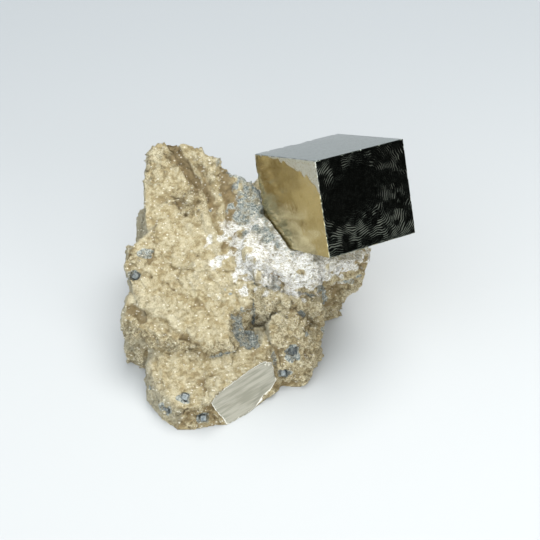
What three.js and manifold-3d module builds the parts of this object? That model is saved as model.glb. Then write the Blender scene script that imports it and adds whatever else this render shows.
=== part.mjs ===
// A hand specimen of pyrite on its matrix: one large crystal, a block a little
// longer than it is wide or high, seated by its lower back corner in a broken
// lump of pale marl, with small pyrite grains set in the rock.
// Millimetres. +Z up, +X to the right, +Y away from the front.
// The origin is at the middle of its box, on the surface it stands on.
import * as THREE from 'three';
import Module from 'manifold-3d';
import { ConvexGeometry } from 'three/addons/geometries/ConvexGeometry.js';
import { TessellateModifier } from 'three/addons/modifiers/TessellateModifier.js';
import { mergeVertices } from 'three/addons/utils/BufferGeometryUtils.js';

// ---- driving dimensions --------------------------------------------------
const CRYSTAL_WIDTH = 21.5;
const CRYSTAL_DEPTH = 25;
const CRYSTAL_HEIGHT = 20;
const CRYSTAL_CENTRE = [13.5, 6, 37];
const CRYSTAL_TILT = [-31, -9, 30];         // degrees, about X, then its own Y, then its own Z
const SOCKET_GAP = 0.25;                    // between a crystal and the rock round it

const RIDGE_HEIGHT = 38;                    // highest part of the rock, at its back left
const SADDLE_HEIGHT = 32;                   // where the ridge meets the crystal
const PLATEAU_HEIGHT = 25;                  // front edge of the slope below the ridge
const BROW_HEIGHT = 12;                     // where the front drops to the toe
const TOE_HEIGHT = 8;
const LOBE_HEIGHT = 15;                     // front edge of the lobe at the plateau's left
const BULGE_HEIGHT = 9;                     // of the bulge low at the back left

const CHIP_COUNT = 14;                      // flat chips struck off each block
const CHIP_DEPTH = 1.3;                     // the deepest of them
const CHIP_MEAN = 0.55;                     // their mean depth, as a share of the deepest
const CHIP_TURN = Math.PI * (3 - Math.sqrt(5)); // from one chip round to the next: the golden angle
const ROCK_EDGE = 3.4;                      // longest edge of the rock's net
const SPLIT_PASSES = 24;                    // most times that an edge is split to reach it
const WELD_DISTANCE = 1e-4;                 // corners closer than this are one corner
const ROUGH = [                             // broken surface: size and height of its waves
  { wave: 11, height: 0.7 },
  { wave: 5.5, height: 0.4 },
];
const CAVITY_SIZE = [9, 8, 11];             // hollow broken out below the crystal, on the left
const CAVITY_CENTRE = [-5, -12, 14];
const FACET_CENTRE = [-5.5, -22.3, 4.7];    // flat cleaved face low on the front
const FACET_NORMAL = [0.55, -0.76, 0.34];
const FACET_SIZE = 15;
const FOOT_BELOW = -3;                      // how far the blocks run down before the foot is cut
const CUTTER_SIZE = [120, 120, 20];         // block that cuts the foot flat

// Small grains of pyrite set in the surface: the length of an edge, and a spot
// near the surface from which the grain is pushed back and down into the rock.
const GRAINS = [
  { edge: 1.1, near: [-29, -4, 22] },
  { edge: 1.4, near: [-22, -25, 3] },
  { edge: 1.2, near: [-18, -24, 6] },
  { edge: 1.1, near: [-14, -28, 3] },
  { edge: 1.1, near: [3, -17, 5] },
  { edge: 1.3, near: [5, -13, 8] },
];
const GRAIN_TURN = [37, 23, 61];            // degrees that each grain is turned past the last
const GRAIN_REACH = 60;                     // how far outside the rock its line starts
const GRAIN_SUNK = 0.35;                    // share of the edge by which its centre lies below

// The blocks that the rock is broken into. Each has the corners of its top, going
// round, and a foot that is spread beyond the top, or drawn in where it overhangs.
// Where a block leans, its foot is also moved over by the two lengths given.
const BLOCKS = [
  {
    name: 'ridge',
    top: [[-27, 21, RIDGE_HEIGHT], [-17, 21, RIDGE_HEIGHT + 1], [-8, 16, RIDGE_HEIGHT - 2],
      [-2, 11, SADDLE_HEIGHT + 1], [-3, -1, PLATEAU_HEIGHT - 1], [-27, 2, PLATEAU_HEIGHT - 1]],
    spread: 2,
  },
  {
    name: 'back',
    top: [[-24, 24, 20], [-2, 26, 22], [12, 25, 15], [12, 14, 15], [-24, 10, 20]],
    spread: 5,
  },
  {
    name: 'brow',
    top: [[-24, 8, PLATEAU_HEIGHT + 4], [-3, 6, PLATEAU_HEIGHT + 4], [-3, -4, PLATEAU_HEIGHT - 3],
      [-6, -14, BROW_HEIGHT + 1], [-14, -16, BROW_HEIGHT], [-26, -12, LOBE_HEIGHT - 1],
      [-32, 1, PLATEAU_HEIGHT - 1]],
    spread: -1,
  },
  {
    name: 'shoulder',
    top: [[-4, 22, 28], [17, 20, 20], [22, 2, 22], [13, -5, 26], [-3, -7, 25]],
    spread: -8,
  },
  {
    name: 'shoulder_base',
    top: [[-7, -6, 21], [4, -10, 20], [12, -6, 15], [14, 8, 16], [14, 24, 16], [-4, 24, 20]],
    spread: -2,
  },
  {
    name: 'collar',
    top: [[-4, 9, SADDLE_HEIGHT - 1], [1, 1, 30], [8, -5, 29], [11, -6, 28], [3, -8, 26], [-6, -1, 27]],
    spread: -2,
    lean: [0, 2],
  },
  {
    name: 'toe',
    top: [[-26, -9, TOE_HEIGHT + 2], [-25, -20, TOE_HEIGHT - 2], [-20, -27, TOE_HEIGHT - 2],
      [-8, -25, TOE_HEIGHT], [0, -18, TOE_HEIGHT + 1], [0, -9, TOE_HEIGHT + 3]],
    spread: 2.5,
  },
  {
    name: 'heel',
    top: [[1, -16, 6], [7, -16, 4], [11, -7, 9], [6, -9, 18], [-1, -10, 16]],
    spread: -0.5,
  },
  {
    name: 'back_bulge',
    top: [[-30, 21, BULGE_HEIGHT], [-30, 11, BULGE_HEIGHT], [-20, 4, 20], [-20, 22, 27],
      [-30, 17, 21]],
    spread: 0.5,
  },
  {
    name: 'lobe',
    top: [[-31, -4, LOBE_HEIGHT + 4], [-32, -9, LOBE_HEIGHT], [-25, -13, LOBE_HEIGHT - 2],
      [-21, -3, LOBE_HEIGHT + 5]],
    spread: -1,
  },
];

// ---- solids --------------------------------------------------------------
const wasm = await Module();
wasm.setup();

function solidFrom(geometry) {
  const bare = new THREE.BufferGeometry();
  bare.setAttribute('position', geometry.getAttribute('position').clone());
  if (geometry.index) bare.setIndex(geometry.index.clone());
  const net = mergeVertices(bare, WELD_DISTANCE);
  const mesh = new wasm.Mesh({
    numProp: 3,
    vertProperties: Float32Array.from(net.getAttribute('position').array),
    triVerts: Uint32Array.from(net.index.array),
  });
  return new wasm.Manifold(mesh);
}

function geometryFrom(solid) {
  const net = solid.getMesh();
  const geometry = new THREE.BufferGeometry();
  geometry.setAttribute('position', new THREE.BufferAttribute(net.vertProperties.slice(), 3));
  geometry.setIndex(new THREE.BufferAttribute(net.triVerts.slice(), 1));
  geometry.computeVertexNormals();
  return geometry;
}

// A convex block: its top corners, and a foot spread out from the middle of the top.
function rockBlock({ top, spread, lean = [0, 0] }) {
  const corners = top.map((corner) => new THREE.Vector3(...corner));
  const middle = corners.reduce((sum, corner) => sum.add(corner), new THREE.Vector3());
  middle.divideScalar(corners.length);
  const foot = corners.map((corner) => {
    const outward = corner.clone().sub(middle).setZ(0).setLength(spread);
    return corner.clone().add(outward).add(new THREE.Vector3(...lean, 0)).setZ(FOOT_BELOW);
  });
  return [...corners, ...foot];
}

// Strikes flat chips off a block, on directions spread evenly over its upper side.
function chipped(corners, seed) {
  let solid = solidFrom(new ConvexGeometry(corners));
  for (let chip = 0; chip < CHIP_COUNT; chip += 1) {
    const rise = (chip + 0.5) / CHIP_COUNT;
    const around = chip * CHIP_TURN + seed;
    const flat = Math.sqrt(1 - rise * rise);
    const outward = new THREE.Vector3(flat * Math.cos(around), flat * Math.sin(around), rise);
    const reach = Math.max(...corners.map((corner) => corner.dot(outward)));
    const depth = CHIP_DEPTH * (CHIP_MEAN + (1 - CHIP_MEAN) * gridValue(chip, 0, 0, seed));
    solid = solid.trimByPlane(outward.clone().negate().toArray(), depth - reach);
  }
  return solid;
}

// A box of the given size, turned and moved to its place.
function placedBox(size, centre, tiltDegrees) {
  const box = new THREE.BoxGeometry(...size);
  const turn = tiltDegrees.map((angle) => THREE.MathUtils.degToRad(angle));
  box.applyMatrix4(new THREE.Matrix4().makeRotationFromEuler(new THREE.Euler(...turn, 'XYZ')));
  box.translate(...centre);
  return box;
}

// Smooth random field between -1 and 1: values on a whole-number grid, blended between.
function gridValue(i, j, k, seed) {
  const mixed = Math.sin(i * 127.1 + j * 311.7 + k * 74.7 + seed * 19.3) * 43758.5453;
  return 2 * (mixed - Math.floor(mixed)) - 1;
}

function smoothField(x, y, z, seed) {
  const cell = [x, y, z].map(Math.floor);
  const blend = [x, y, z].map((value, axis) => THREE.MathUtils.smoothstep(value - cell[axis], 0, 1));
  let total = 0;
  for (let corner = 0; corner < 8; corner += 1) {
    const step = [corner & 1, (corner >> 1) & 1, (corner >> 2) & 1];
    const weights = step.map((on, axis) => (on ? blend[axis] : 1 - blend[axis]));
    const value = gridValue(cell[0] + step[0], cell[1] + step[1], cell[2] + step[2], seed);
    total += value * weights[0] * weights[1] * weights[2];
  }
  return total;
}

// Moves every point of the rock's surface by the waves in ROUGH.
function roughen(geometry) {
  const points = geometry.getAttribute('position');
  for (let index = 0; index < points.count; index += 1) {
    const [x, y, z] = [points.getX(index), points.getY(index), points.getZ(index)];
    const moved = [x, y, z];
    for (const { wave, height } of ROUGH) {
      for (let axis = 0; axis < 3; axis += 1) {
        moved[axis] += height * smoothField(x / wave, y / wave, z / wave, wave + 10 * axis);
      }
    }
    points.setXYZ(index, ...moved);
  }
  return geometry;
}

// ---- the rock ------------------------------------------------------------
const blocks = BLOCKS.map((block, index) => chipped(rockBlock(block), index + 1));
const lump = blocks.reduce((sum, block) => sum.add(block));
const cavity = new THREE.IcosahedronGeometry(0.5, 1);
cavity.scale(...CAVITY_SIZE).translate(...CAVITY_CENTRE);

const splitter = new TessellateModifier(ROCK_EDGE, SPLIT_PASSES);
const net = splitter.modify(geometryFrom(lump.subtract(solidFrom(cavity))).toNonIndexed());

const besideFacet = new THREE.BoxGeometry(FACET_SIZE, FACET_SIZE, FACET_SIZE);
besideFacet.translate(0, 0, FACET_SIZE / 2);
const facetNormal = new THREE.Vector3(...FACET_NORMAL).normalize();
const facetTurn = new THREE.Quaternion().setFromUnitVectors(new THREE.Vector3(0, 0, 1), facetNormal);
besideFacet.applyQuaternion(facetTurn);
besideFacet.translate(...FACET_CENTRE);

const underneath = placedBox(CUTTER_SIZE, [0, 0, -CUTTER_SIZE[2] / 2], [0, 0, 0]);
const socketSize = [CRYSTAL_WIDTH, CRYSTAL_DEPTH, CRYSTAL_HEIGHT].map((side) => side + 2 * SOCKET_GAP);
const socket = placedBox(socketSize, CRYSTAL_CENTRE, CRYSTAL_TILT);

let rock = [besideFacet, underneath, socket]
  .map(solidFrom)
  .reduce((left, cutter) => left.subtract(cutter), solidFrom(roughen(net)));

// ---- the specimen --------------------------------------------------------
const specimen = new THREE.Group();

const marl = new THREE.MeshStandardMaterial({ color: 0xc0b491, roughness: 0.9, metalness: 0 });
const brassy = new THREE.MeshStandardMaterial({ color: 0x8f8b74, roughness: 0.18, metalness: 1 });

function addPiece(name, geometry, material) {
  const piece = new THREE.Mesh(geometry, material);
  piece.name = name;
  specimen.add(piece);
}

const crystalSize = [CRYSTAL_WIDTH, CRYSTAL_DEPTH, CRYSTAL_HEIGHT];
addPiece('pyrite_crystal', placedBox(crystalSize, CRYSTAL_CENTRE, CRYSTAL_TILT), brassy);

// Each grain sits where its line meets the rock, and the rock is cut to take it.
const surface = new THREE.Mesh(geometryFrom(rock));
GRAINS.forEach(({ edge, near }, index) => {
  const inward = new THREE.Vector3(0, 1, -1).normalize();
  const start = new THREE.Vector3(...near).addScaledVector(inward, -GRAIN_REACH);
  const meet = new THREE.Raycaster(start, inward).intersectObject(surface)[0];
  const centre = meet.point.addScaledVector(meet.face.normal, -GRAIN_SUNK * edge).toArray();
  const tilt = GRAIN_TURN.map((angle) => angle * (index + 1));
  const cut = edge + 2 * SOCKET_GAP;
  rock = rock.subtract(solidFrom(placedBox([cut, cut, cut], centre, tilt)));
  addPiece(`pyrite_grain_${index + 1}`, placedBox([edge, edge, edge], centre, tilt), brassy);
});
addPiece('matrix', geometryFrom(rock), marl);

// The middle of the specimen, seen from above, goes to the origin.
const middle = new THREE.Box3().setFromObject(specimen).getCenter(new THREE.Vector3());
specimen.position.set(-middle.x, -middle.y, 0);

export default specimen;
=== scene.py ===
"""Looks for a pyrite specimen: a lump of pale marl, a large pyrite crystal and small grains.

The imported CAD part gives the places: stains and crust follow from the crystal, the grains and
the hollows, and the ledges are set as shares of the rock's box. Lengths are millimetres unless a
name or a comment says otherwise; the meshes are in metres.
"""

import math

import bmesh
import bpy
import numpy as np
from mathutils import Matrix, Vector
from mathutils.bvhtree import BVHTree


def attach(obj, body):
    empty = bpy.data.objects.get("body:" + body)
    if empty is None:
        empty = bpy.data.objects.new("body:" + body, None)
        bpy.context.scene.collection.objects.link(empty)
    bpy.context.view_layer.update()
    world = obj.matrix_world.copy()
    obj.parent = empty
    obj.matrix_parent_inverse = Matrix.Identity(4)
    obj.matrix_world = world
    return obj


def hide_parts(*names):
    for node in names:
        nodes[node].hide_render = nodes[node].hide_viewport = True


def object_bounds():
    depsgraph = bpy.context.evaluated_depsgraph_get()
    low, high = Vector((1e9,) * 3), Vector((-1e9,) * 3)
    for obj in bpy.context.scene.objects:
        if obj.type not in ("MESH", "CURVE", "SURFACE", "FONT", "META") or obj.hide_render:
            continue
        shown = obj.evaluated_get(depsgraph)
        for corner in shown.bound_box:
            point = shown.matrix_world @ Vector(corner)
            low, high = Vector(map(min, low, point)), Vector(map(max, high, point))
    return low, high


MM = 0.001

# ---- rock: shape ----------------------------------------------------------
ROCK_VOXEL = 0.32  # grid of the rock's fine surface
SMOOTH_PASSES = 5  # rounds the CAD's flat facets before the fine relief goes on
BROAD_PASSES = 220  # smooths a copy of the rock, to tell hollows from crests
CHIP_RELIEF = [(7.5, 0.8, 1), (3.2, 0.7, 2), (1.4, 0.42, 3)]  # size, height, seed
SOFT_RELIEF = [(3.0, 0.26, 11), (1.5, 0.16, 12), (0.75, 0.14, 13)]
FOOT_BAND = 1.2  # the relief fades out over this height above the foot
SOCKET_MARGIN = 0.3  # it starts this far from the crystal
SOCKET_BAND = 0.35  # and comes in over this distance
CALM_FACING = (0.55, 0.85)  # surfaces that face up this much are smoother: from, to

# The rock breaks along steep beds that run from front to back, each with a sharp edge.
BED_UP = (0.85, 0.2, 0.45)
BED_THICKNESS = 3.6
BED_STEP = 0.55
BED_EDGE = 0.16  # the steep edge's share of the thickness
CRACK_WAVE = 9.0  # cracks wander over this distance
CRACK_WIDTH = 0.035  # as a share of that
CRACK_DEPTH = 0.4

# Broken edges on the rock's upper side. Each runs between two places given as shares of
# the rock's box, across and from front to back, and drops towards one side by the last value.
LEDGES = [
    ((0.16, 0.85), (0.28, 0.71), (1, 0.3, 0), 1.3),
    ((0.21, 0.88), (0.31, 0.73), (-1, -0.3, 0), 1.3),
    ((0.32, 0.71), (0.40, 0.52), (1, 0.2, 0), 1.4),
    ((0.39, 0.72), (0.44, 0.52), (1, 0.2, 0), 1.4),
    ((0.05, 0.36), (0.30, 0.24), (-0.1, -1, 0), 1.2),
]
LEDGE_RUN = 3.5  # how far the drop runs out
NODULE_OFFSET = (-6, 0, 4)  # small oval lump beside the cleaved face, from its middle
NODULE_RADIUS, NODULE_HEIGHT = 1.7, 0.45
NODULE_STRETCH = (0.75, 1, 1)  # less than 1 makes it longer that way

FACET_NORMAL = (0.55, -0.76, 0.34)  # the flat cleaved face low on the front
FACET_EDGE = (0.88, 0.95)  # where it ends, from its middle, as shares of its width
SIDE_NORMAL = (-0.95, -0.1, 0.2)  # greyer, smoother rock on the steep left side

# ---- rock: stain and crust --------------------------------------------------
CRUST_REACH = 15.5  # white crust runs this far from the crystal
STAIN_REACH = 8.0  # blue-grey stain, on the upper side of the crystal's seat
HOLLOW_REACH = 30.0  # and in the hollows out to here
GRAIN_STAIN = 0.9  # and round each grain
SEAT_DROP = (5.5, 9.5)  # stain gives way to crust this far below the crystal's middle
CRUST_FLOOR = (11, 17)  # heights over which the crust comes in
STAIN_FLOOR = (5, 8)  # heights over which the stain in hollows comes in
HOLLOW_SHARE = (90, 97)  # percentiles of the hollow measure that count as deep

# ---- crystal ---------------------------------------------------------------
FINE_STEP = 0.08  # grid of the lined face
LINE_SPACING = 0.45
LINE_HEIGHT = 0.05
LINE_SHARPNESS = 2.5
LINE_BENDS = [(4.0, 0.7, 91), (1.5, 0.24, 92), (0.7, 0.08, 93)]  # size, height, seed
POLISHED = (-3.5, 2)  # smooth middle of its lines, from the middle of the face: along it, up it
RING_POWER = 2.5  # 2 gives round rings, more gives squarer ones
GROWTH_RATE = 1.04  # each row of the side faces is this much wider than the last
WORN_DEPTH = 0.3  # worn band along the left face's top, at its front end: share of the height
WORN_START = 0.97  # where that band starts at the back, as a share of the height
EDGE_WEAR = 0.16  # how far the wear on the block's edges reaches
GRAIN_BEVEL = 0.12
GRAIN_SWELL = 0.1  # a grain fills its socket: added to each side

# ---- colours: linear red, green and blue ---------------------------------------
SAND_DARK, SAND, SAND_PALE = (0.50, 0.415, 0.235), (0.62, 0.53, 0.325), (0.69, 0.625, 0.43)
# The crest colour is a painted highlight on the relief's crests; the low brown is painted shade in
# its recesses.
SAND_CREST_HIGHLIGHT = (0.76, 0.70, 0.50)
BROWN, BROWN_LOW_SHADE, BROWN_FINE = (0.36, 0.275, 0.13), (0.27, 0.195, 0.09), (0.30, 0.23, 0.115)
# The crease brown is painted shade in thin creases.
# The hollow brown is painted shade in the rock's hollows.
BROWN_HOLLOW_SHADE, BROWN_CREASE_SHADE = (0.28, 0.215, 0.11), (0.19, 0.135, 0.065)
SIDE_DARK, SIDE_PALE = (0.33, 0.30, 0.205), (0.47, 0.44, 0.33)
CRUST_GREY, CRUST_WHITE = (0.56, 0.53, 0.43), (1.0, 0.99, 0.95)
BLUE_DARK, BLUE_PALE = (0.14, 0.175, 0.17), (0.55, 0.57, 0.52)
# The facet's rim colour is a painted highlight along the cleaved face's edge.
FACET_DARK, FACET_PALE, FACET_RIM_HIGHLIGHT = (0.23, 0.225, 0.178), (0.33, 0.32, 0.265), (0.80, 0.78, 0.68)
# The flake colour is pale flakes with a painted glint.
# The pit colour is painted shade in small pits.
FLAKE_GLINT, PIT_SHADE = (0.90, 0.86, 0.72), (0.14, 0.11, 0.065)
PYRITE, PYRITE_PALE, PYRITE_WORN = (0.50, 0.445, 0.27), (0.56, 0.50, 0.315), (0.56, 0.56, 0.50)
# The crest colour of the lines is a painted glint.
# The lined colour is a painted dark reflection on the lined face.
# The top colour is a painted reflection of the grey surround on the crystal's top face.
PYRITE_TOP_REFLECTION, PYRITE_LINED_DARK_REFLECTION, LINE_CREST_GLINT = (0.19, 0.235, 0.24), (0.12, 0.14, 0.12), (0.23, 0.235, 0.19)
TARNISH_DARK, TARNISH_PALE = (0.10, 0.12, 0.13), (0.26, 0.28, 0.27)
# The middle and back floor colours are painted shade: the floor darkens towards the back as the
# light falls off.
FLOOR_FRONT, FLOOR_MIDDLE_SHADED = (0.50, 0.515, 0.52), (0.345, 0.365, 0.38)
FLOOR_BACK_SHADED = (0.34, 0.37, 0.39)

# ---- camera and stage --------------------------------------------------------
CAMERA_LENS = 86.7
CAMERA_DISTANCE = 282.8
CAMERA_ELEVATION = 45.0
AIM_OFFSET = (0.9, -0.7, -6.7)  # from the middle of the part's box
# Each light: its direction, then its distance and width in metres, and its watts.
SOFTBOX = ((0.18, 0.25, 0.95), 0.75, 0.5, 4.5)
FILL = ((0.7, -0.7, 0.3), 0.7, 0.4, 2.2)
LIGHT_COLOUR = (1.0, 0.985, 0.955)
# The surround: its directions, and the cosines between which each comes in.
CARD_DIRECTION, CARD_SPREAD, CARD_STRENGTH = (0.87, -0.46, 0.12), (0.62, 0.9), 0.97
BRIGHT_DIRECTION, BRIGHT_SPREAD, BRIGHT_STRENGTH = (-0.25, -0.85, 0.45), (0.15, 0.95), 2.3
SURROUND_STRENGTH = 0.42
SURROUND_COLOUR = (0.93, 0.97, 1.0, 1.0)


# ---- noise -------------------------------------------------------------------
def scrambled(cells, seed):
    """A fixed random number from 0 to 1 for each whole-number cell (N, 3)."""
    i = cells.astype(np.int64)
    mixed = (i[:, 0] * 73856093) ^ (i[:, 1] * 19349663) ^ (i[:, 2] * 83492791) ^ (seed * 2654435)
    mixed = (mixed ^ (mixed >> 13)) * 1274126177
    mixed = (mixed ^ (mixed >> 16)) & 0xFFFFFF
    return mixed / float(0xFFFFFF)


def soft_noise(points, wave, seed):
    """Smooth random values from -1 to 1 that change over the given distance."""
    scaled = points / wave
    cell = np.floor(scaled)
    f = scaled - cell
    f = f * f * f * (f * (6 * f - 15) + 10)
    total = np.zeros(len(points))
    for corner in range(8):
        step = np.array([corner & 1, (corner >> 1) & 1, (corner >> 2) & 1])
        weight = np.prod(np.where(step, f, 1 - f), axis=1)
        total += weight * scrambled(cell + step, seed)
    return 2 * total - 1


def soft_vectors(points, wave, seed):
    """Smooth random offsets: one soft noise for each axis."""
    return np.stack([soft_noise(points, wave, seed + axis) for axis in range(3)], axis=1)


def chip_relief(points, size, seed):
    """Random flat chips: each point takes the height of its nearest chip's own tilted plane."""
    scaled = points / size
    cell = np.floor(scaled)
    nearest = np.full(len(points), 1e9)
    height = np.zeros(len(points))
    for i in (-1, 0, 1):
        for j in (-1, 0, 1):
            for k in (-1, 0, 1):
                near = cell + (i, j, k)
                offset = [scrambled(near, seed + 40 + a) for a in range(3)]
                middle = near + np.stack(offset, axis=1)
                away = scaled - middle
                distance = (away**2).sum(axis=1)
                slope = [scrambled(near, seed + 50 + a) - 0.5 for a in range(3)]
                plane = (away * np.stack(slope, axis=1)).sum(axis=1) * 2.4
                plane += scrambled(near, seed + 60) - 0.5
                closer = distance < nearest
                nearest = np.where(closer, distance, nearest)
                height = np.where(closer, plane, height)
    return height


def unit(vector):
    return np.array(vector) / np.linalg.norm(vector)


def smoothstep(value, low, high):
    t = np.clip((value - low) / (high - low), 0, 1)
    return t * t * (3 - 2 * t)


# ---- distances ---------------------------------------------------------------
def nearest_on_line(points, line):
    """For each point, the distance to a line of straight stretches and the offset from it."""
    best = np.full(len(points), 1e9)
    offset = np.zeros_like(points)
    for start, end in zip(line[:-1], line[1:]):
        a, b = np.array(start, float), np.array(end, float)
        along = np.clip(((points - a) @ (b - a)) / ((b - a) @ (b - a)), 0, 1)
        away = points - (a + along[:, None] * (b - a))
        distance = np.linalg.norm(away, axis=1)
        closer = distance < best
        best = np.where(closer, distance, best)
        offset = np.where(closer[:, None], away, offset)
    return best, offset


def seated(surface, point):
    """The point of the surface nearest to a point, both in mm."""
    return np.array(surface.find_nearest(Vector(point) * MM)[0]) / MM


def dropped(surface, low, high, across, back):
    """Where a plumb line at a share of the rock's box meets its upper side, in mm."""
    start = low + (high - low) * np.array([across, back, 1.5])
    return np.array(surface.ray_cast(Vector(start) * MM, Vector((0, 0, -1)))[0]) / MM


def ledge_line(surface, low, high, start, end, stretches=8):
    """A line from one share of the box to another, laid on the rock."""
    shares = np.linspace(start, end, stretches + 1)
    return [dropped(surface, low, high, *share) for share in shares]


def outside_block(points, block):
    """How far each point is from a block's surface, in mm, and 0 inside it."""
    centre, size, axes = block
    beyond = np.maximum(np.abs((points - centre) @ axes) - size / 2, 0)
    return np.linalg.norm(beyond, axis=1)


# ---- meshes --------------------------------------------------------------------
def add_object(name, mesh):
    obj = bpy.data.objects.new(name, mesh)
    bpy.context.scene.collection.objects.link(obj)
    return obj


def read_points(mesh):
    flat = np.empty(len(mesh.vertices) * 3, np.float32)
    mesh.vertices.foreach_get("co", flat)
    return flat.reshape(-1, 3).astype(float)


def read_normals(mesh):
    flat = np.empty(len(mesh.vertices) * 3, np.float32)
    mesh.vertex_normals.foreach_get("vector", flat)
    return flat.reshape(-1, 3).astype(float)


def write_points(mesh, points):
    mesh.vertices.foreach_set("co", points.astype(np.float32).ravel())
    mesh.update()


def write_mask(mesh, name, values):
    layer = mesh.attributes.new(name, "FLOAT", "POINT")
    layer.data.foreach_set("value", np.clip(values, 0, 1).astype(np.float32))


def applied(obj):
    """The object's mesh with its modifiers applied, and the modifiers cleared."""
    graph = bpy.context.evaluated_depsgraph_get()
    mesh = bpy.data.meshes.new_from_object(obj.evaluated_get(graph))
    obj.modifiers.clear()
    obj.data = mesh
    return mesh


def block_frame(node):
    """A block's centre, its size along its own axes and those axes as matrix columns, in mm."""
    corners = np.unique(np.round(read_points(node.data) / MM, 3), axis=0)
    first = corners[0]
    by_distance = sorted(corners[1:], key=lambda c: np.linalg.norm(c - first))
    edges = [c - first for c in by_distance[:3]]
    upright = max(edges, key=lambda e: abs(e[2]) / np.linalg.norm(e))
    across = [e for e in edges if e is not upright]
    sideways = max(across, key=lambda e: abs(e[0]) / np.linalg.norm(e))
    backwards = next(e for e in across if e is not sideways)
    ordered = [e * np.sign(e[axis]) for axis, e in enumerate((sideways, backwards, upright))]
    size = np.array([np.linalg.norm(e) for e in ordered])
    return corners.mean(axis=0), size, np.stack([e / np.linalg.norm(e) for e in ordered], axis=1)


# ---- the rock --------------------------------------------------------------------
def bed_relief(points):
    """Ledges of the beds: a flat tread, then a steep edge, one for each bed."""
    level = points @ unit(BED_UP) / BED_THICKNESS
    level = level + 0.8 * soft_noise(points, 6.0, 31) + 0.2 * soft_noise(points, 1.6, 32)
    part = level - np.floor(level)
    patchy = smoothstep(soft_noise(points, 7.0, 33), -0.35, 0.3)
    return BED_STEP * patchy * (smoothstep(part, 0.0, BED_EDGE) - part)


def crack_relief(points):
    """Narrow cracks, along the lines where a smooth noise passes through zero."""
    bend = 0.3 * soft_noise(points, 1.8, 42)
    near_zero = np.abs(soft_noise(points, CRACK_WAVE, 41) + 0.25 * bend)
    patchy = smoothstep(soft_noise(points, 5.0, 43), 0.0, 0.35)
    return -CRACK_DEPTH * patchy * (1 - smoothstep(near_zero, 0, CRACK_WIDTH))


def ledge_relief(points, surface, low, high):
    """The drops on the low side of each broken edge in LEDGES."""
    relief = np.zeros(len(points))
    for start, end, low_side, drop in LEDGES:
        line = ledge_line(surface, low, high, start, end)
        distance, offset = nearest_on_line(points, line)
        across = offset @ unit(low_side)
        fade = np.exp(-((distance / LEDGE_RUN) ** 2))
        relief -= drop * fade * (smoothstep(across, -0.25, 0.35) - 0.35)
    return relief


def rock_relief(points, normals, surface, nodule, calm):
    """How far each point of the rock's surface moves out, in mm, less where it is calm."""
    side = smoothstep(normals @ unit(SIDE_NORMAL), 0.6, 0.85)
    relief = np.zeros(len(points))
    for size, height, seed in CHIP_RELIEF:
        bent = points + 0.25 * size * soft_vectors(points, size * 0.6, seed + 20)
        relief += height * chip_relief(bent, size, seed)
    for wave, height, seed in SOFT_RELIEF:
        relief += height * soft_noise(points, wave, seed)
    relief *= (1 - 0.5 * side) * (1 - 0.55 * calm)
    relief += bed_relief(points) + crack_relief(points)
    wander = 0.6 * soft_vectors(points, 2.2, 80)
    relief += ledge_relief(points + wander, surface, points.min(axis=0), points.max(axis=0))
    away = (points - seated(surface, nodule)) * NODULE_STRETCH
    distance = np.linalg.norm(away, axis=1) / NODULE_RADIUS
    groove = np.exp(-(((distance - 1.15) / 0.2) ** 2))
    return relief + NODULE_HEIGHT * (np.exp(-(distance**4)) - 0.8 * groove)


def cleaved_face(node):
    """The middle and width in mm of the flat cleaved face, from the CAD faces that look its way."""
    normal = Vector(FACET_NORMAL).normalized()
    faces = [face for face in node.data.polygons if face.normal.dot(normal) > 0.9999]
    area = sum(face.area for face in faces)
    middle = sum((face.center * face.area for face in faces), Vector()) / area
    return np.array(middle) / MM, math.sqrt(area) / MM


def facet_mask(points, normals, middle, width):
    """1 on the flat cleaved face, 0 elsewhere."""
    normal = unit(FACET_NORMAL)
    away = points - middle
    flat = smoothstep(0.6 - np.abs(away @ normal), 0, 0.25)
    facing = smoothstep(normals @ normal, 0.85, 0.93)
    low, high = (share * width for share in FACET_EDGE)
    near = 1 - smoothstep(np.linalg.norm(away, axis=1), low, high)
    return flat * facing * near


def stain_and_crust(points, hollow, crystal, grains):
    """Blue-grey stain and white crust, each from 0 to 1."""
    ragged = 0.5 * soft_noise(points, 2.6, 71) + 0.35 * soft_noise(points, 1.1, 72)
    from_crystal = outside_block(points, crystal)
    below = smoothstep(crystal[0][2] - points[:, 2] + 3 * ragged, *SEAT_DROP)
    crust = 1 - smoothstep(from_crystal / CRUST_REACH + 0.7 * ragged, 0.25, 0.95)
    crust *= below * smoothstep(points[:, 2], *CRUST_FLOOR)
    stain = (1 - smoothstep(from_crystal / STAIN_REACH + 0.8 * ragged, 0.5, 1.0)) * (1 - below)
    for centre, size, _ in grains:
        near = np.linalg.norm(points - centre, axis=1) / (GRAIN_STAIN + size[0] / 2)
        stain = np.maximum(stain, 1 - smoothstep(near + 1.2 * ragged, 0.55, 1.2))
    deep, deepest = np.percentile(hollow, HOLLOW_SHARE)
    sheltered = smoothstep(hollow + 0.5 * deepest * ragged, deep, deepest)
    sheltered *= 1 - smoothstep(from_crystal, 0.8 * HOLLOW_REACH, HOLLOW_REACH)
    sheltered = sheltered * smoothstep(points[:, 2], *STAIN_FLOOR) * (1 - crust)
    stain = np.maximum(stain, sheltered)
    spots = soft_noise(points, 4.2, 74) + 0.45 * ragged
    return np.maximum(stain, smoothstep(spots, 0.82, 0.98)), crust


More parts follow.
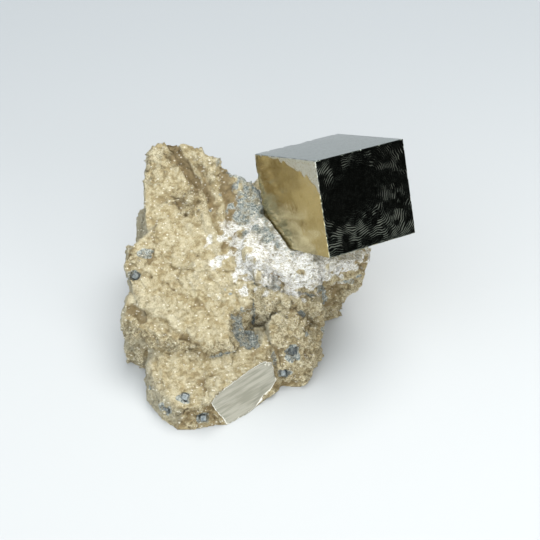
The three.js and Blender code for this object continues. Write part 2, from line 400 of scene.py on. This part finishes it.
def build_rock(node, crystal, grains):
    """The rock, remeshed from the CAD rock and given its broken surface and its masks."""
    rock = add_object("matrix_rock", node.data.copy())
    rock.data.materials.clear()
    remesh = rock.modifiers.new("fine", "REMESH")
    remesh.mode = "VOXEL"
    remesh.voxel_size = ROCK_VOXEL * MM
    mesh = applied(rock)
    before = read_points(mesh) / MM
    face_middle, face_width = cleaved_face(node)
    facet = facet_mask(before, read_normals(mesh), face_middle, face_width)

    broad = rock.modifiers.new("broad", "SMOOTH")
    broad.iterations = BROAD_PASSES
    graph = bpy.context.evaluated_depsgraph_get()
    smoothed = bpy.data.meshes.new_from_object(rock.evaluated_get(graph))
    averaged = read_points(smoothed) / MM
    bpy.data.meshes.remove(smoothed)
    rock.modifiers.clear()

    smooth = rock.modifiers.new("round", "SMOOTH")
    smooth.iterations = SMOOTH_PASSES
    mesh = applied(rock)
    points, normals = read_points(mesh) / MM, read_normals(mesh)
    hollow = np.sum((averaged - before) * normals, axis=1)
    corners = [list(polygon.vertices) for polygon in mesh.polygons]
    surface = BVHTree.FromPolygons((points * MM).tolist(), corners)

    centre, size, axes = crystal
    local = (before - centre) @ axes
    gap = np.max(np.abs(local) - size / 2, axis=1)
    free = smoothstep(gap, SOCKET_MARGIN, SOCKET_MARGIN + SOCKET_BAND)
    free *= smoothstep(before[:, 2], 0.15, FOOT_BAND)
    calm = smoothstep(normals[:, 2] + 0.3 * soft_noise(points, 8.0, 15), *CALM_FACING)
    relief = rock_relief(points, normals, surface, face_middle + NODULE_OFFSET, calm)
    moved = points + normals * (relief * free * (1 - facet))[:, None]
    keep = (1 - free) * (1 - facet)
    moved = before * keep[:, None] + moved * (1 - keep[:, None])
    moved = before * facet[:, None] + moved * (1 - facet[:, None])
    moved[:, 2] = np.maximum(moved[:, 2], 0)
    write_points(mesh, moved * MM)

    stain, crust = stain_and_crust(points, hollow, crystal, grains)
    side_facing = normals @ unit(SIDE_NORMAL) + 0.2 * soft_noise(points, 3.0, 75)
    write_mask(mesh, "facet", facet)
    write_mask(mesh, "blue", stain * (1 - facet))
    write_mask(mesh, "crust", crust)
    write_mask(mesh, "side", smoothstep(side_facing, 0.45, 0.95))
    # Carries painted shade in the recesses and a painted highlight on the crests.
    write_mask(mesh, "raised", 0.5 + 0.5 * relief)
    write_mask(mesh, "broken", 1 - calm)
    # Carries painted shade in the hollows.
    write_mask(mesh, "hollow", smoothstep(hollow, 0.0, 2.0))
    mesh.shade_smooth()
    return rock


# ---- the crystal -----------------------------------------------------------------
def even_levels(length, step):
    count = max(2, round(length / step))
    return np.linspace(-length / 2, length / 2, count + 1)


def growing_levels(length, first, rate):
    """Levels from the front face back, each gap wider than the last."""
    levels, gap = [0.0], first
    while levels[-1] + gap < length:
        levels.append(levels[-1] + gap)
        gap *= rate
    levels = np.array(levels) * length / levels[-1]
    return levels - length / 2


def line_relief(u, v):
    """Fine growth lines of the lined face, as heights in mm, and their crests from 0 to 1.

    u runs along the face and v up it. The lines ring the polished middle, and square up to the
    face's edges further out.
    """
    flat = np.stack([u, v, np.zeros_like(u)], axis=1)
    bend = sum(height * soft_noise(flat, wave, seed) for wave, height, seed in LINE_BENDS)
    du, dv = np.abs(u - POLISHED[0]), np.abs(v - POLISHED[1])
    ring = ((0.9 * du) ** RING_POWER + dv**RING_POWER) ** (1 / RING_POWER)
    ridge = (0.5 - 0.5 * np.cos(2 * math.pi * (ring + bend) / LINE_SPACING)) ** LINE_SHARPNESS
    patchy = 0.5 + 0.4 * soft_noise(flat, 1.1, 94) + 0.25 * soft_noise(flat, 3.0, 96)
    patchy = np.clip(patchy, 0.15, 1)
    crest = ridge * patchy * (0.15 + 0.85 * smoothstep(ring, 1.5, 7.0))
    return LINE_HEIGHT * crest + 0.02 * soft_noise(flat, 4.0, 95), crest


def build_crystal(crystal):
    """The large crystal: a block with a fine grid on its lined face, and coarser rows behind."""
    centre, size, axes = crystal
    xs, zs = even_levels(size[0], FINE_STEP), even_levels(size[2], FINE_STEP)
    ys = growing_levels(size[1], FINE_STEP, GROWTH_RATE)
    nx, ny, nz = len(xs), len(ys), len(zs)
    index = {}
    points = []

    def corner(i, j, k):
        key = (i, j, k)
        if key not in index:
            index[key] = len(points)
            points.append((xs[i], ys[j], zs[k]))
        return index[key]

    faces = []

    def quad(*keys):
        faces.append([corner(*key) for key in keys])

    end_x, end_z = nx - 1, nz - 1
    for i in range(nx - 1):
        for k in range(nz - 1):
            quad((i, 0, k), (i + 1, 0, k), (i + 1, 0, k + 1), (i, 0, k + 1))
    for i in range(nx - 1):
        for j in range(ny - 1):
            quad((i, j, end_z), (i + 1, j, end_z), (i + 1, j + 1, end_z), (i, j + 1, end_z))
            quad((i, j, 0), (i, j + 1, 0), (i + 1, j + 1, 0), (i + 1, j, 0))
    for j in range(ny - 1):
        for k in range(nz - 1):
            quad((0, j, k), (0, j, k + 1), (0, j + 1, k + 1), (0, j + 1, k))
            quad((end_x, j, k), (end_x, j + 1, k), (end_x, j + 1, k + 1), (end_x, j, k + 1))
    back = [corner(i, ny - 1, 0) for i in range(nx)]
    back += [corner(nx - 1, ny - 1, k) for k in range(1, nz)]
    back += [corner(i, ny - 1, nz - 1) for i in range(nx - 2, -1, -1)]
    back += [corner(0, ny - 1, k) for k in range(nz - 2, 0, -1)]
    faces.append(back[::-1])

    local = np.array(points)
    half = size / 2
    front = np.isclose(local[:, 1], -half[1])
    inner = np.minimum(half[0] - np.abs(local[:, 0]), half[2] - np.abs(local[:, 2]))
    lined = front * smoothstep(inner, 0, 0.12)
    relief, crest = line_relief(local[:, 0], local[:, 2])
    local[:, 1] -= lined * relief
    forward, up = 0.5 - local[:, 1] / size[1], 0.5 + local[:, 2] / size[2]
    worn = up - WORN_START + WORN_DEPTH * forward**3 + 0.03 * soft_noise(local, 1.2, 98)
    worn = np.isclose(local[:, 0], -half[0]) * smoothstep(worn, 0, 0.04)
    top = np.isclose(local[:, 2], half[2])
    local = crystal_edges(local, half)
    mesh = bpy.data.meshes.new("pyrite_block")
    mesh.from_pydata(((local @ axes.T + centre) * MM).tolist(), [], faces)
    mesh.update()
    write_mask(mesh, "lined", front.astype(float))
    # Carries painted glints on the lines' crests.
    write_mask(mesh, "crest", lined * crest)
    write_mask(mesh, "worn", worn)
    # Carries the top face's painted reflection.
    write_mask(mesh, "top", top.astype(float))
    obj = add_object("pyrite_block", mesh)
    mesh.shade_smooth()
    mesh.set_sharp_from_angle(angle=math.radians(50))
    return obj


def crystal_edges(local, half):
    """Wears the block's edges a little, in small random nicks."""
    depth = half - np.abs(local)
    order = np.sort(depth, axis=1)
    on_edge = 1 - smoothstep(order[:, 1], 0.0, EDGE_WEAR)
    nick = np.clip(soft_noise(local, 0.9, 97) - 0.1, 0, 1) * EDGE_WEAR + 0.03
    inward = -np.sign(local) * (depth < EDGE_WEAR)
    return local + inward * (on_edge * nick)[:, None]


def build_grain(node, number):
    """A grain: a small block with clipped edges that fills its socket in the rock."""
    centre, size, axes = block_frame(node)
    bm = bmesh.new()
    bmesh.ops.create_cube(bm, size=1.0)
    bmesh.ops.scale(bm, vec=Vector(size + GRAIN_SWELL), verts=bm.verts)
    edges = list(bm.edges)
    bmesh.ops.bevel(bm, geom=edges, offset=GRAIN_BEVEL, segments=2, affect="EDGES", profile=0.6)
    bmesh.ops.subdivide_edges(bm, edges=list(bm.edges), cuts=2, use_grid_fill=True)
    mesh = bpy.data.meshes.new(node.name + "_cube")
    bm.to_mesh(mesh)
    bm.free()
    local = read_points(mesh)
    local += 0.05 * soft_vectors(local, 0.7, 200 + number * 5)
    write_points(mesh, (local @ axes.T + centre) * MM)
    mesh.shade_smooth()
    mesh.set_sharp_from_angle(angle=math.radians(35))
    return add_object(node.name + "_cube", mesh)


# ---- materials -------------------------------------------------------------------
class Nodes:
    """Short ways to build a material's node tree."""

    def __init__(self, name):
        self.material = bpy.data.materials.new(name)
        self.material.use_nodes = True
        self.tree = self.material.node_tree
        self.shader = self.tree.nodes["Principled BSDF"]

    def add(self, kind, **sockets):
        node = self.tree.nodes.new(kind)
        for name, value in sockets.items():
            self.set(node.inputs[name.replace("_", " ")], value)
        return node

    def set(self, socket, value):
        if isinstance(value, bpy.types.NodeSocket):
            self.tree.links.new(value, socket)
        else:
            socket.default_value = value

    def place(self):
        return self.add("ShaderNodeTexCoord").outputs["Object"]

    def noise(self, place, per_mm, detail=4.0, roughness=0.6, distortion=0.0):
        node = self.add(
            "ShaderNodeTexNoise", Vector=place, Scale=per_mm / MM, Detail=detail,
            Roughness=roughness, Distortion=distortion,
        )
        return node.outputs["Fac"]

    def stretched(self, place, scale, turn=(0, 0, 0)):
        """Coordinates turned first and then scaled, so a pattern stretches along its own axis."""
        turned = self.add("ShaderNodeMapping", Vector=place, Rotation=turn).outputs["Vector"]
        return self.add("ShaderNodeMapping", Vector=turned, Scale=scale).outputs["Vector"]

    def ramp(self, value, low, high, to_low=0.0, to_high=1.0):
        node = self.add("ShaderNodeMapRange")
        node.interpolation_type = "SMOOTHSTEP"
        self.set(node.inputs["Value"], value)
        ends = {"From Min": low, "From Max": high, "To Min": to_low, "To Max": to_high}
        for name, number in ends.items():
            self.set(node.inputs[name], number)
        return node.outputs["Result"]

    def math(self, operation, first, second=0.0):
        node = self.add("ShaderNodeMath")
        node.operation = operation
        self.set(node.inputs[0], first)
        self.set(node.inputs[1], second)
        return node.outputs["Value"]

    def mix(self, share, first, second):
        node = self.add("ShaderNodeMix")
        node.data_type = "RGBA"
        self.set(node.inputs["Factor"], share)
        for name, value in (("A", first), ("B", second)):
            socket = next(s for s in node.inputs if s.name == name and s.type == "RGBA")
            self.set(socket, value if isinstance(value, bpy.types.NodeSocket) else (*value, 1.0))
        return next(s for s in node.outputs if s.type == "RGBA")

    def mask(self, name):
        node = self.add("ShaderNodeAttribute")
        node.attribute_name = name
        return node.outputs["Fac"]

    def bump(self, height, distance_mm, strength=1.0, below=None):
        node = self.add(
            "ShaderNodeBump", Height=height, Distance=distance_mm * MM, Strength=strength
        )
        if below is not None:
            self.set(node.inputs["Normal"], below)
        return node.outputs["Normal"]


def marl_material():
    n = Nodes("marl")
    place = n.place()
    broad = n.noise(place, 0.16, detail=5, roughness=0.6)
    medium = n.noise(place, 0.7, detail=6, roughness=0.65)
    fine = n.noise(place, 2.6, detail=5, roughness=0.7)
    colour = n.mix(n.ramp(broad, 0.35, 0.66), SAND_DARK, SAND)
    colour = n.mix(n.ramp(medium, 0.42, 0.62, 0.0, 0.75), colour, SAND_PALE)
    colour = n.mix(n.ramp(medium, 0.54, 0.36, 0.0, 0.75), colour, BROWN)
    # Painted shade in the relief's recesses and a painted highlight on its crests.
    colour = n.mix(n.ramp(n.mask("raised"), 0.45, 0.1, 0.0, 0.85), colour, BROWN_LOW_SHADE)
    colour = n.mix(n.ramp(n.mask("raised"), 0.55, 0.9, 0.0, 0.5), colour, SAND_CREST_HIGHLIGHT)
    broken = n.ramp(n.mask("broken"), 0.0, 1.0, 0.4, 1.0)
    wander = n.noise(place, 0.45, detail=4, distortion=0.8)
    crease = n.ramp(n.math("ABSOLUTE", n.math("SUBTRACT", wander, 0.5)), 0.022, 0.0)
    crease = n.math("MULTIPLY", n.math("MULTIPLY", crease, broken), n.ramp(medium, 0.58, 0.42))
    # Painted shade in thin creases.
    colour = n.mix(n.math("MULTIPLY", crease, 0.8), colour, BROWN_CREASE_SHADE)
    grit = n.math("MULTIPLY", n.ramp(fine, 0.56, 0.38, 0.0, 0.9), broken)
    colour = n.mix(grit, colour, BROWN_FINE)
    # Painted shade in the hollows.
    colour = n.mix(n.math("MULTIPLY", n.mask("hollow"), 0.6), colour, BROWN_HOLLOW_SHADE)

    side_streaks = n.noise(n.stretched(place, (1, 1, 0.35)), 1.2, detail=5)
    side = n.mix(n.ramp(side_streaks, 0.35, 0.65), SIDE_DARK, SIDE_PALE)
    colour = n.mix(n.math("MULTIPLY", n.mask("side"), 0.8), colour, side)

    crust_edge = n.ramp(n.math("ADD", n.mask("crust"), n.math("MULTIPLY", medium, 0.9)), 0.85, 1.15)
    fibres = n.stretched(place, (0.5, 1.6, 1.6), (0.2, 0.4, 0.6))
    feathers = n.noise(fibres, 1.7, detail=5, distortion=1.0)
    crust = n.mix(n.ramp(feathers, 0.40, 0.56), CRUST_GREY, CRUST_WHITE)
    crusted = n.math("MULTIPLY", crust_edge, n.ramp(feathers, 0.34, 0.50, 0.45, 1.0))
    colour = n.mix(crusted, colour, crust)

    blue_edge = n.ramp(n.math("ADD", n.mask("blue"), n.math("MULTIPLY", fine, 0.9)), 0.65, 0.95)
    blue = n.mix(n.ramp(fine, 0.38, 0.6), BLUE_DARK, BLUE_PALE)
    stained = n.math("MULTIPLY", blue_edge, n.ramp(medium, 0.36, 0.54, 0.45, 1.0))
    colour = n.mix(stained, colour, blue)

    across = n.stretched(place, (0.12, 1.2, 1.2), (0, 0, -0.67))
    streak = n.noise(across, 1.1, detail=4, roughness=0.6)
    facet = n.mix(n.ramp(streak, 0.36, 0.62), FACET_DARK, FACET_PALE)
    # A painted highlight along the rim of the cleaved face.
    rim_highlight = n.math("MULTIPLY", n.ramp(n.mask("facet"), 0.05, 0.5), n.ramp(n.mask("facet"), 0.98, 0.6))
    facet = n.mix(rim_highlight, facet, FACET_RIM_HIGHLIGHT)
    colour = n.mix(n.ramp(n.mask("facet"), 0.2, 0.6), colour, facet)

    flakes = n.stretched(place, (0.4, 1.0, 1.0), (0.5, 0.3, 0.9))
    grains = n.add("ShaderNodeTexVoronoi", Vector=flakes, Scale=1.9 / MM)
    pick = n.add("ShaderNodeSeparateColor", Color=grains.outputs["Color"])
    near_flake = n.ramp(grains.outputs["Distance"], 0.42, 0.2)
    speck = n.math("MULTIPLY", n.ramp(pick.outputs["Red"], 0.74, 0.80), near_flake)
    rough_rock = n.ramp(n.mask("facet"), 0.6, 0.0)
    speck = n.math("MULTIPLY", speck, rough_rock)
    # Pale flakes with a painted glint.
    colour = n.mix(n.math("MULTIPLY", speck, 0.8), colour, FLAKE_GLINT)
    near_pit = n.ramp(grains.outputs["Distance"], 0.36, 0.16)
    pit = n.math("MULTIPLY", n.ramp(pick.outputs["Green"], 0.9, 0.94), near_pit)
    pit = n.math("MULTIPLY", n.math("MULTIPLY", pit, rough_rock), broken)
    # Painted shade in small pits.
    colour = n.mix(n.math("MULTIPLY", pit, 0.8), colour, PIT_SHADE)

    n.set(n.shader.inputs["Base Color"], colour)
    n.set(n.shader.inputs["Roughness"], n.ramp(speck, 0.0, 1.0, 0.88, 0.6))
    n.shader.inputs["Specular IOR Level"].default_value = 0.35
    height = n.math("ADD", medium, n.math("MULTIPLY", fine, 0.7))
    height = n.math("SUBTRACT", height, n.math("MULTIPLY", crease, 0.3))
    height = n.math("MULTIPLY", height, rough_rock)
    grainy = n.bump(height, 1.2, 1.0)
    n.set(n.shader.inputs["Normal"], n.bump(n.noise(place, 7.0, detail=3), 0.06, 0.7, grainy))
    return n.material


def pyrite_material():
    n = Nodes("pyrite")
    place = n.place()
    cloud = n.noise(place, 0.12, detail=3)
    grain = n.noise(place, 1.5, detail=5)
    colour = n.mix(n.ramp(cloud, 0.4, 0.62), PYRITE, PYRITE_PALE)
    # Painted reflection: the top face tinted grey-blue, as it mirrors the grey surround.
    colour = n.mix(n.math("MULTIPLY", n.mask("top"), 0.85), colour, PYRITE_TOP_REFLECTION)
    # Painted reflection: the lined face darkened, as it mirrors the dark card.
    colour = n.mix(n.math("MULTIPLY", n.mask("lined"), 0.95), colour, PYRITE_LINED_DARK_REFLECTION)
    crest = n.ramp(n.mask("crest"), 0.05, 0.9)
    # Painted glints on the crests of the lines.
    colour = n.mix(crest, colour, LINE_CREST_GLINT)
    speckle = n.noise(place, 3.0, detail=4, roughness=0.75)
    worn = n.math("MULTIPLY", n.mask("worn"), n.ramp(speckle, 0.36, 0.54, 0.35, 1.0))
    colour = n.mix(worn, colour, PYRITE_WORN)
    n.set(n.shader.inputs["Base Color"], colour)
    n.shader.inputs["Metallic"].default_value = 1.0
    dull = n.math("MAXIMUM", n.math("MULTIPLY", crest, 0.45), n.math("MULTIPLY", worn, 0.5))
    n.set(n.shader.inputs["Roughness"], n.math("MAXIMUM", n.ramp(grain, 0.3, 0.7, 0.09, 0.2), dull))
    ripple = n.bump(n.noise(place, 0.35, detail=2), 0.15, 0.35)
    pitted = n.math("MULTIPLY", speckle, n.mask("worn"))
    n.set(n.shader.inputs["Normal"], n.bump(pitted, 0.15, 0.6, ripple))
    return n.material


def grain_material():
    n = Nodes("pyrite_grain")
    place = n.place()
    tarnish = n.noise(place, 1.6, detail=4)
    colour = n.mix(n.ramp(tarnish, 0.35, 0.65), TARNISH_DARK, TARNISH_PALE)
    n.set(n.shader.inputs["Base Color"], colour)
    n.shader.inputs["Metallic"].default_value = 0.7
    n.set(n.shader.inputs["Roughness"], n.ramp(tarnish, 0.3, 0.7, 0.3, 0.55))
    n.set(n.shader.inputs["Normal"], n.bump(n.noise(place, 4.0, detail=3), 0.06, 0.6))
    return n.material


def floor_material():
    n = Nodes("floor")
    place = n.place()
    back = n.add("ShaderNodeSeparateXYZ", Vector=place).outputs["Y"]
    # Painted shade: the floor darkens towards the back, as the light falls off.
    near_tone = n.mix(n.ramp(back, -0.06, 0.16), FLOOR_FRONT, FLOOR_MIDDLE_SHADED)
    n.set(n.shader.inputs["Base Color"], n.mix(n.ramp(back, 0.12, 0.6), near_tone, FLOOR_BACK_SHADED))
    n.shader.inputs["Roughness"].default_value = 0.6
    n.shader.inputs["Specular IOR Level"].default_value = 0.2
    return n.material


# ---- stage ---------------------------------------------------------------------
def build_floor():
    bm = bmesh.new()
    bmesh.ops.create_grid(bm, x_segments=4, y_segments=4, size=3.0)
    mesh = bpy.data.meshes.new("floor")
    bm.to_mesh(mesh)
    bm.free()
    floor = add_object("floor", mesh)
    floor.data.materials.append(floor_material())


def build_world():
    """Pale all round, but dark low on the right and front, as with a black card held there."""
    world = bpy.data.worlds.new("studio")
    bpy.context.scene.world = world
    world.use_nodes = True
    tree = world.node_tree
    background = tree.nodes["Background"]
    direction = tree.nodes.new("ShaderNodeTexCoord").outputs["Generated"]

    def math_node(operation, first, second):
        node = tree.nodes.new("ShaderNodeMath")
        node.operation = operation
        for socket, value in zip(node.inputs, (first, second)):
            if isinstance(value, bpy.types.NodeSocket):
                tree.links.new(value, socket)
            else:
                socket.default_value = value
        return node.outputs["Value"]

    def toward(aim, low, high):
        """0 away from the given direction, 1 towards it."""
        dot = tree.nodes.new("ShaderNodeVectorMath")
        dot.operation = "DOT_PRODUCT"
        tree.links.new(direction, dot.inputs[0])
        dot.inputs[1].default_value = Vector(aim).normalized()
        ramp = tree.nodes.new("ShaderNodeMapRange")
        ramp.interpolation_type = "SMOOTHSTEP"
        tree.links.new(dot.outputs["Value"], ramp.inputs["Value"])
        ramp.inputs["From Min"].default_value = low
        ramp.inputs["From Max"].default_value = high
        return ramp.outputs["Result"]

    dark = toward(CARD_DIRECTION, *CARD_SPREAD)
    bright = toward(BRIGHT_DIRECTION, *BRIGHT_SPREAD)
    level = math_node("MULTIPLY_ADD", bright, BRIGHT_STRENGTH)
    level.node.inputs[2].default_value = SURROUND_STRENGTH
    uncovered = math_node("SUBTRACT", 1.0, math_node("MULTIPLY", dark, CARD_STRENGTH))
    level = math_node("MULTIPLY", level, uncovered)
    tree.links.new(level, background.inputs["Strength"])
    background.inputs["Color"].default_value = SURROUND_COLOUR


def build_light(name, direction, distance, size, energy):
    lamp = bpy.data.lights.new(name, "AREA")
    lamp.shape = "DISK"
    lamp.size = size
    lamp.energy = energy
    lamp.color = LIGHT_COLOUR
    obj = bpy.data.objects.new(name, lamp)
    bpy.context.scene.collection.objects.link(obj)
    toward = Vector(direction).normalized()
    obj.location = toward * distance
    obj.rotation_euler = toward.to_track_quat("Z", "Y").to_euler()
    return obj


def build_camera(middle):
    camera = bpy.data.cameras.new("camera")
    camera.lens = CAMERA_LENS
    camera.sensor_width = 36.0
    camera.clip_start, camera.clip_end = 0.01, 20.0
    obj = bpy.data.objects.new("camera", camera)
    bpy.context.scene.collection.objects.link(obj)
    tilt = math.radians(CAMERA_ELEVATION)
    aim = middle + Vector(AIM_OFFSET) * MM
    obj.location = aim + Vector((0, -math.cos(tilt), math.sin(tilt))) * CAMERA_DISTANCE * MM
    obj.rotation_euler = (math.pi / 2 - tilt, 0, 0)
    bpy.context.scene.camera = obj


# ---- the scene --------------------------------------------------------------------
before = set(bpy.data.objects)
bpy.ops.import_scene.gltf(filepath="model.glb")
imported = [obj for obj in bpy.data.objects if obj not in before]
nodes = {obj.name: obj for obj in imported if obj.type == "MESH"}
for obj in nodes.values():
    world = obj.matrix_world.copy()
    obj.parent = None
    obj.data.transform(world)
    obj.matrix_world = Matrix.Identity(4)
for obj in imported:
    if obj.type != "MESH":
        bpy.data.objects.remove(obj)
cad_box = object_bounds()
crystal = block_frame(nodes["pyrite_crystal"])

grain_nodes = sorted(name for name in nodes if name.startswith("pyrite_grain"))
rock = build_rock(nodes["matrix"], crystal, [block_frame(nodes[name]) for name in grain_nodes])
rock.data.materials.append(marl_material())
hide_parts("matrix")
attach(rock, "root")

block = build_crystal(crystal)
block.data.materials.append(pyrite_material())
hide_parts("pyrite_crystal")
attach(block, "root")

grain_look = grain_material()
for number, name in enumerate(grain_nodes):
    grain = build_grain(nodes[name], number)
    grain.data.materials.append(grain_look)
    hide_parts(name)
    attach(grain, "root")

build_floor()
build_world()
build_light("softbox", *SOFTBOX)
fill = build_light("fill", *FILL)
fill.visible_glossy = False  # the black card stands between it and the crystal
build_camera((cad_box[0] + cad_box[1]) / 2)
bpy.context.scene.view_settings.view_transform = "Standard"
